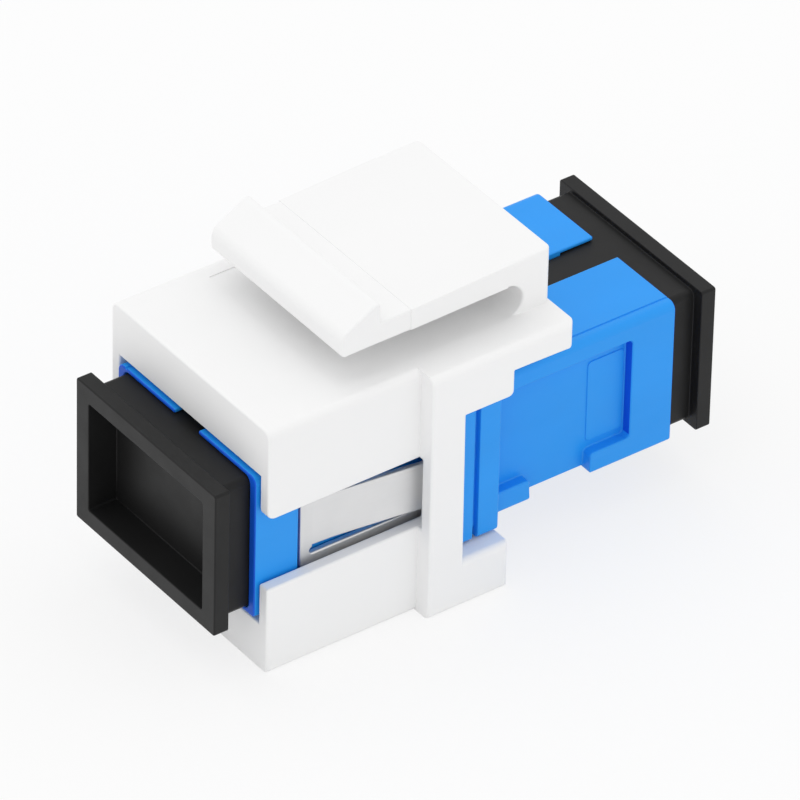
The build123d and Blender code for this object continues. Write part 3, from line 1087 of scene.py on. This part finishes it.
# Adapter
@dataclass
class AdapterHalf:
    """One half of the blue adapter, drawn as the rear one."""

    half: Point = (6.35, 4.625)
    reach: float = 13.9
    flange: Point = (7.3, 4.8)
    flange_reach: float = 1.55
    seam_reach: float = 0.17
    seam_depth: float = 0.4
    channel: Point = (4.55, 3.75)
    channel_corner: float = 0.3
    mouth_walls: Point = (0.55, 0.24)
    mouth_step: float = 11.7
    mouth_corner: float = 0.4
    seat: Point = (5.0, 4.0)
    seat_depth: float = 1.0
    key_half: float = 1.1
    key_reach: float = 5.2
    recess_floor: float = 5.7
    recess_reach: float = 11.05
    recess_top: float = 11.25
    recess_corner: float = 0.25
    tab_reach: float = 4.35
    tab_top: float = 4.705
    strap_reach: float = 8.4
    strap_floor: float = 3.605
    foot: float = 0.28
    pad_relief: float = 0.07
    pad_root: float = 0.2
    pad_y: Range = (8.5, 10.92)
    pad_z: Range = (5.17, 10.45)
    line_inset: float = 0.72
    line_width: float = 0.14
    line_depth: float = 0.07
    # Depths of the bands on the lip and on the recess's end that take the darker blue of painted shade.
    lip_depth: float = 0.2
    wall_depth: float = 0.3
    top_edge: float = 0.48
    low_edge: float = 0.25
    flange_edge: float = 0.3
    small_edge: float = 0.1
    seam_edge: float = 0.05
    root_edge: float = 0.04
    fine_edge: float = 0.03

    def side_recess(self) -> Outline:
        """Give the side view of the clip recess, open to the bottom between tab and step.

        Returns:
            The outline in Y and Z.
        """
        below = PORT_AXIS - self.half[1] - CLEAR
        points = [
            (self.flange_reach, self.tab_top), (self.tab_reach, self.tab_top), (self.tab_reach, below),
            (self.strap_reach, below), (self.strap_reach, self.tab_top), (self.recess_reach, self.tab_top),
            (self.recess_reach, self.recess_top), (self.flange_reach, self.recess_top),
        ]
        return rounded(points, {i: self.recess_corner for i in (1, 4, 5, 6)})

    def strap_recess(self) -> Outline:
        """Give the side view of the recess under the adapter, with its lower corners flared.

        Returns:
            The outline in Y and Z.
        """
        bottom = PORT_AXIS - self.half[1]
        low = bottom - CLEAR
        near_y, far_y = self.tab_reach - self.foot, self.strap_reach + self.foot
        near = arc((near_y, bottom + self.foot), self.foot, -90, 0, steps=5)
        far = arc((far_y, bottom + self.foot), self.foot, 180, 270, steps=5)
        return [(near_y, low), *near, (self.tab_reach, self.strap_floor), (self.strap_reach, self.strap_floor),
                *far, (far_y, low)]

    def solid(self) -> Thing:
        """Carve one half with sharp edges.

        Returns:
            The solid.
        """
        past = self.reach + CLEAR
        outside = self.half[0] + CLEAR
        top = PORT_AXIS + self.half[1]
        middle = self.half[0] - self.line_inset
        add = [
            bar(self.half, (self.seam_reach, self.reach), self.top_edge, self.low_edge),
            bar(self.flange, (self.seam_reach, self.flange_reach), self.flange_edge),
            bar(smaller(self.flange, self.seam_depth, self.seam_depth), (0.0, self.flange_reach / 2),
                self.flange_edge),
        ]
        key = rectangle((-self.key_half, self.key_half), (self.key_reach, past))
        line = rectangle((middle - self.line_width / 2, middle + self.line_width / 2),
                         (top - self.line_depth, top + CLEAR))
        cut = [
            bar(self.channel, (-CLEAR, past), self.channel_corner),
            bar(self.seat, (-CLEAR, self.seat_depth)),
            bar(smaller(self.half, *self.mouth_walls), (self.mouth_step, past), self.mouth_corner),
            Prism(Axis.Z, key, (PORT_AXIS, top + CLEAR)),
            *both_sides(self.side_recess(), self.recess_floor, outside),
            across(self.strap_recess(), outside),
            Prism(Axis.Y, line, (self.flange_reach, past)),
        ]
        half = carve("adapter_half", add, cut)
        pad = Prism(Axis.X, soft_plate(self.pad_y, self.pad_z, self.recess_corner),
                    (self.recess_floor - self.pad_root, self.recess_floor + self.pad_relief))
        combine(half, pad.build(), "UNION")
        flatten(half)
        return half

    def edges(self) -> list[EdgeRule]:
        """Give the rules for the edges that differ from the small ones.

        Returns:
            The rules.
        """
        top = PORT_AXIS + self.half[1]
        bottom = PORT_AXIS - self.half[1]
        middle = self.half[0] - self.line_inset
        body = within(self.half[0])
        return [
            EdgeRule(0.0, y=at(0.0)),
            EdgeRule(self.fine_edge, x=between(middle - self.line_width, middle + self.line_width),
                     z=between(top - self.line_depth, top)),
            EdgeRule(self.seam_edge, y=(-CLEAR, self.seam_reach + SLACK)),
            EdgeRule(0.0, z=at(self.strap_floor)),
            EdgeRule(0.0, y=between(self.tab_reach - self.foot, self.strap_reach + self.foot),
                     z=within(bottom + self.foot)),
            EdgeRule(0.0, x=body, y=(self.tab_reach, self.strap_reach), z=within(self.strap_floor)),
            EdgeRule(self.root_edge, x=body, y=at(self.flange_reach), z=between(bottom, top)),
            EdgeRule(self.fine_edge, x=between(self.recess_floor, self.recess_floor + self.pad_relief),
                     y=between(*self.pad_y), z=between(*self.pad_z)),
        ]

    def build(self, facing: Facing, body: Material, edge: Material) -> Thing:
        """Make and dress one half.

        Args:
            facing: The way its port looks.
            body: Finish of the moulding.
            edge: Darker copy of the blue for painted shade on the mouth's lip and on the side recess's end.

        Returns:
            The finished piece.
        """
        half = self.solid()
        soften(half, self.small_edge, self.edges())
        half.name = f"adapter_{facing.name.lower()}_moulding"
        dress(half, body, edge)
        # Painted shade: the lip's outward faces and the recess's end faces that look toward the jack's middle get the
        # darker blue.
        for face in half.data.polygons:
            out, place = face.normal.y, face.center.y / MM
            lip = out > 0.3 and place > self.reach - self.lip_depth
            wall = out < -0.95 and place > self.recess_reach - self.wall_depth
            face.material_index = int(lip or wall)
        return turned(half, facing)


@dataclass
class AlignmentSleeve:
    """Split zirconia tube that lines up the two plugs."""

    bore: float = 2.499
    wall: float = 0.35
    length: float = 11.4
    slit: float = 0.5
    edge: float = 0.06
    steps: int = 96

    def build(self, tube: GrowthTree) -> Thing:
        """Make the sleeve.

        Args:
            tube: Tree of a slit tube.

        Returns:
            The finished piece.
        """
        radius = (self.bore + self.wall) / 2
        sizes = {"Thickness": self.wall * MM, "Width": self.length * MM, "Edge": self.edge * MM,
                 "Radius": radius * MM, "Slit Angle": self.slit / radius, "Steps": self.steps,
                 "Height": PORT_AXIS * MM}
        sleeve = tube.grow("split_sleeve", [], sizes)
        sleeve.data.shade_smooth()
        even_normals(sleeve.data)
        return sleeve


# Retention clip
@dataclass
class RetentionClip:
    """Sprung sheet strap round the bottom and sides of the front half, with a leaf in each side."""

    sheet: float = 0.4
    inner: float = 5.8
    plate_y: Range = (-10.83, -1.65)
    plate_z: Range = (4.805, 11.15)
    plate_corner: float = 0.4
    front_strip: float = 0.85
    rear_strip: float = 0.95
    edge_strip: float = 1.1
    strap_y: Range = (-8.3, -4.45)
    strap_top: float = 3.56
    bend: float = 0.2
    bend_steps: int = 8
    leaf_z: Range = (6.43, 9.43)
    leaf_flare: float = 0.8
    leaf_tip: float = -3.2
    leaf_steps: int = 16
    leaf_overlap: float = 0.2
    tip_length: float = 0.9
    tip_flare: float = 0.06
    root_bend: float = 1.4
    relief: float = 0.19
    small_edge: float = 0.11

    def side_plate(self, side: int) -> Thing:
        """Cut one side plate with its window and the round reliefs at the leaf's root.

        Args:
            side: Sign of its X.

        Returns:
            The plate as a scratch object.
        """
        span = tuple(sorted((side * self.inner, side * (self.inner + self.sheet))))
        wide = (span[0] - TRIM, span[1] + TRIM)
        window_y = (self.plate_y[0] + self.front_strip, self.plate_y[1] - self.rear_strip)
        window_z = (self.plate_z[0] + self.edge_strip, self.plate_z[1] - self.edge_strip)
        window = rounded(rectangle(window_y, window_z), {1: self.relief, 2: self.relief})
        reliefs = [arc((window_y[0], z), self.relief, 0, 345, steps=23)
                   for z in (window_z[0] + self.relief, window_z[1] - self.relief)]
        sheet = Prism(Axis.X, soft_plate(self.plate_y, self.plate_z, self.plate_corner), span)
        plate = carve("scratch", [sheet], [Prism(Axis.X, hole, wide) for hole in (window, *reliefs)])
        soften(plate, self.small_edge, [], 3)
        return plate

    def leaf_line(self) -> Outline:
        """Give the middle line of the leaf from its root to its tip, seen from above.

        Returns:
            The points in X and Y.
        """
        outer = self.inner + self.sheet
        root = self.plate_y[0] + self.front_strip
        knee = self.leaf_tip - self.tip_length
        points = [(outer, root - self.leaf_overlap)]
        for step in range(self.leaf_steps + 1):
            along = step / self.leaf_steps
            lift = along - self.root_bend / (2 * (knee - root)) * min(1.0, along * (knee - root) / self.root_bend)
            points.append((outer + (self.leaf_flare - self.tip_flare) * max(0.0, lift), root + (knee - root) * along))
        points.append((outer + self.leaf_flare, self.leaf_tip))
        return [(x - self.sheet / 2, y) for x, y in points]

    def build(self, band: GrowthTree) -> Thing:
        """Make the clip.

        Args:
            band: Tree of a sheet band, for the strap and the leaves.

        Returns:
            The finished piece.
        """
        half_sheet = self.sheet / 2
        middle = self.inner + half_sheet
        join = self.plate_z[0] + OVERLAP
        bottom = self.strap_top - half_sheet
        strap_y, leaf_z = sum(self.strap_y) / 2, sum(self.leaf_z) / 2
        path = [(-middle, strap_y, join), (-middle, strap_y, bottom), (middle, strap_y, bottom),
                (middle, strap_y, join)]
        sizes = {"Thickness": self.sheet * MM, "Width": (self.strap_y[1] - self.strap_y[0]) * MM,
                 "Edge": self.small_edge * MM, "Bend": (self.bend + half_sheet) * MM, "Bend Steps": self.bend_steps}
        leaf_sizes = sizes | {"Width": (self.leaf_z[1] - self.leaf_z[0]) * MM, "Bend": 0.0, "Bend Steps": 1}
        clip = band.grow("spring_clip", [Vector(p) * MM for p in path], sizes)
        for side in (-1, 1):
            combine(clip, self.side_plate(side), "UNION")
            line = [Vector((side * x, y, leaf_z)) * MM for x, y in self.leaf_line()]
            combine(clip, band.grow("scratch", line, leaf_sizes), "UNION")
        clip.data.shade_smooth()
        even_normals(clip.data)
        return clip


# Dust caps
@dataclass
class DustCap:
    """Black cap, drawn as the rear one: dished rim, neck and hollow keyed plug."""

    rim: Point = (6.45, 4.65)
    rim_back: float = 15.6
    reach: float = 16.55
    dish: Point = (5.29, 3.56)
    dish_depth: float = 1.85
    web: float = 1.0
    neck: Point = (5.755, 4.34)
    neck_start: float = 11.75
    plug: Point = (4.505, 3.705)
    plug_start: float = 7.5
    plug_wall: float = 0.9
    plug_corner: float = 0.3
    key_half: float = 1.06
    key_start: float = 5.5
    overlap: float = 0.3
    rim_edge: float = 0.09
    rim_corner: float = 0.16
    dish_corner: float = 0.14
    neck_corner: float = 0.4
    small_edge: float = 0.06

    def build(self, facing: Facing) -> Thing:
        """Make one cap.

        Args:
            facing: The port that it closes.

        Returns:
            The finished piece.
        """
        plug_end = self.neck_start + self.overlap
        dish_floor = self.reach - self.dish_depth
        key_low = PORT_AXIS + self.plug[1] - self.plug_wall
        key = rectangle((-self.key_half, self.key_half), (key_low, PORT_AXIS + self.neck[1]))
        add = [
            bar(self.rim, (self.rim_back, self.reach), self.rim_corner),
            bar(self.neck, (self.neck_start, self.rim_back + self.overlap), self.neck_corner),
            bar(self.plug, (self.plug_start, plug_end), self.plug_corner),
            Prism(Axis.Y, key, (self.key_start, plug_end)),
        ]
        cut = [
            bar(self.dish, (dish_floor, self.reach + CLEAR), self.dish_corner),
            bar(smaller(self.plug, self.plug_wall, self.plug_wall), (self.plug_start - CLEAR, dish_floor - self.web),
                self.plug_corner),
        ]
        cap = carve(f"{facing.name.lower()}_cap_moulding", add, cut)
        side, height = self.dish[0] + self.overlap, self.dish[1] + self.overlap
        face = at(self.reach)
        soften(cap, self.small_edge, [
            EdgeRule(self.rim_edge, x=(side, FAR), y=face),
            EdgeRule(self.rim_edge, y=face, z=(PORT_AXIS + height, FAR)),
            EdgeRule(self.rim_edge, y=face, z=(-FAR, PORT_AXIS - height)),
        ])
        return turned(cap, facing)


# Studio
@dataclass
class Studio:
    """Floor, light and the photograph's camera. Camera sizes are in millimetres and degrees."""

    azimuth: float = 53.183
    elevation: float = 36.664
    roll: float = 1.361
    distance: float = 550.23
    target: Triple = (1.0, -0.535, 8.863)
    lens: float = 460.35
    sensor: float = 36.0
    sky: float = 0.89
    key: float = 0.44
    key_direction: Triple = (-0.3, -0.12, 0.95)
    fill: float = 0.12
    fill_direction: Triple = (0.92, 0.1, 0.36)
    lamp_angle: float = 60.0
    floor_colour: float = 0.94
    backdrop: float = 0.985
    backdrop_share: float = 0.76

    def camera(self) -> None:
        """Set the camera at the photograph's viewing angle."""
        az, el, roll = (math.radians(v) for v in (self.azimuth, self.elevation, self.roll))
        back = Vector((math.sin(az) * math.cos(el), -math.cos(az) * math.cos(el), math.sin(el)))
        level = Vector((math.cos(az), math.sin(az), 0.0))
        upright = back.cross(level)
        right = math.cos(roll) * level + math.sin(roll) * upright
        up = math.cos(roll) * upright - math.sin(roll) * level
        data = bpy.data.cameras.new("camera")
        data.lens = self.lens
        data.sensor_width = self.sensor
        data.clip_start, data.clip_end = 0.01, 20.0
        made = placed("camera", data)
        turn = Matrix((right, up, back)).transposed().to_4x4()
        made.matrix_world = Matrix.Translation((Vector(self.target) + back * self.distance) * MM) @ turn
        bpy.context.scene.camera = made

    def floor(self) -> None:
        """Lay a wide pale floor under the jack, which shines a little where the camera sees it."""
        data = bpy.data.meshes.new("floor")
        with opened(data) as mesh:
            bmesh.ops.create_grid(mesh, x_segments=8, y_segments=8, size=3.0)
        made = placed("floor", data)
        shader = Shader("pale_paper")
        shader.fill(shader.surface, {"Base Color": (*[self.floor_colour] * 3, 1), "Roughness": 0.9,
                                     "Specular IOR Level": 0.0})
        rays = shader.add("ShaderNodeLightPath", {}).outputs
        seen = rays["Is Camera Ray"]
        for other in ("Is Glossy Ray", "Is Transmission Ray"):
            seen = shader.math("MAXIMUM", seen, rays[other])
        bright = shader.add("ShaderNodeEmission", {"Strength": self.backdrop})
        mix = shader.add("ShaderNodeMixShader", {0: shader.math("MULTIPLY", seen, self.backdrop_share),
                                                 1: shader.surface.outputs["BSDF"], 2: bright.outputs["Emission"]})
        shader.fill(shader.tree.nodes["Material Output"], {"Surface": mix.outputs["Shader"]})
        dress(made, shader.material)

    def lamp(self, name: str, strength: float, direction: Triple) -> None:
        """Hang one wide, soft lamp.

        Args:
            name: Name of the lamp.
            strength: Its strength.
            direction: The way from the jack to the lamp.
        """
        data = bpy.data.lights.new(name, "SUN")
        data.energy = strength
        data.angle = math.radians(self.lamp_angle)
        placed(name, data).rotation_euler = Vector(direction).to_track_quat("Z", "Y").to_euler()

    def light(self) -> None:
        """Light the jack with an even sky, a soft key lamp and a weak fill lamp from its side."""
        world = bpy.data.worlds.new("studio")
        world.use_nodes = True
        wiring = Wiring(world.node_tree)
        wiring.fill(wiring.tree.nodes["Background"], {"Color": (1.0, 1.0, 1.0, 1.0), "Strength": self.sky})
        bpy.context.scene.world = world
        self.lamp("key", self.key, self.key_direction)
        self.lamp("fill", self.fill, self.fill_direction)
        bpy.context.scene.view_settings.view_transform = "Standard"

    def build(self) -> None:
        """Set up the whole studio."""
        self.camera()
        self.floor()
        self.light()
        LOG.info("studio: camera, floor and light")


def main() -> None:
    """Build every piece, dress it and seat it on its body."""
    logging.basicConfig(level=logging.INFO, format="%(name)s: %(message)s")
    Studio().build()
    white, blue, shaded_blue, black, steel, natural, ceramic = (
        finish.material() for finish in (WHITE, BLUE, PAINTED_SHADE_BLUE, BLACK, STEEL, NATURAL, CERAMIC))

    latch = Latch()
    housing = KeystoneHousing(latch).build()
    dress(housing, white)
    seat(housing, "keystone_housing", "jack", "housing_plastic")

    arm = latch.build()
    dress(arm, white)
    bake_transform(arm)
    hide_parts("latch_arm")
    LOG.info("%s: %d faces, bends from jack to latch", arm.name, len(arm.data.polygons))

    for facing in Facing:
        side = facing.name.lower()
        half = AdapterHalf().build(facing, blue, shaded_blue)
        seat(half, f"adapter_{side}_body", "jack", "adapter_plastic")
        cap = DustCap().build(facing)
        dress(cap, black)
        seat(cap, f"{side}_dust_cap", f"{side}_cap", "cap_plastic")
        dress(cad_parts[f"{side}_inner_clip"], natural)
        LOG.info("%s_inner_clip: CAD node, natural plastic", side)

    clip = RetentionClip().build(band_tree(steel))
    dress(clip, steel)
    seat(clip, "retention_clip", "jack", "clip_steel")

    sleeve = AlignmentSleeve().build(split_tube_tree(ceramic))
    dress(sleeve, ceramic)
    seat(sleeve, "alignment_sleeve", "jack", "sleeve_ceramic")


if __name__ == "__main__":
    main()
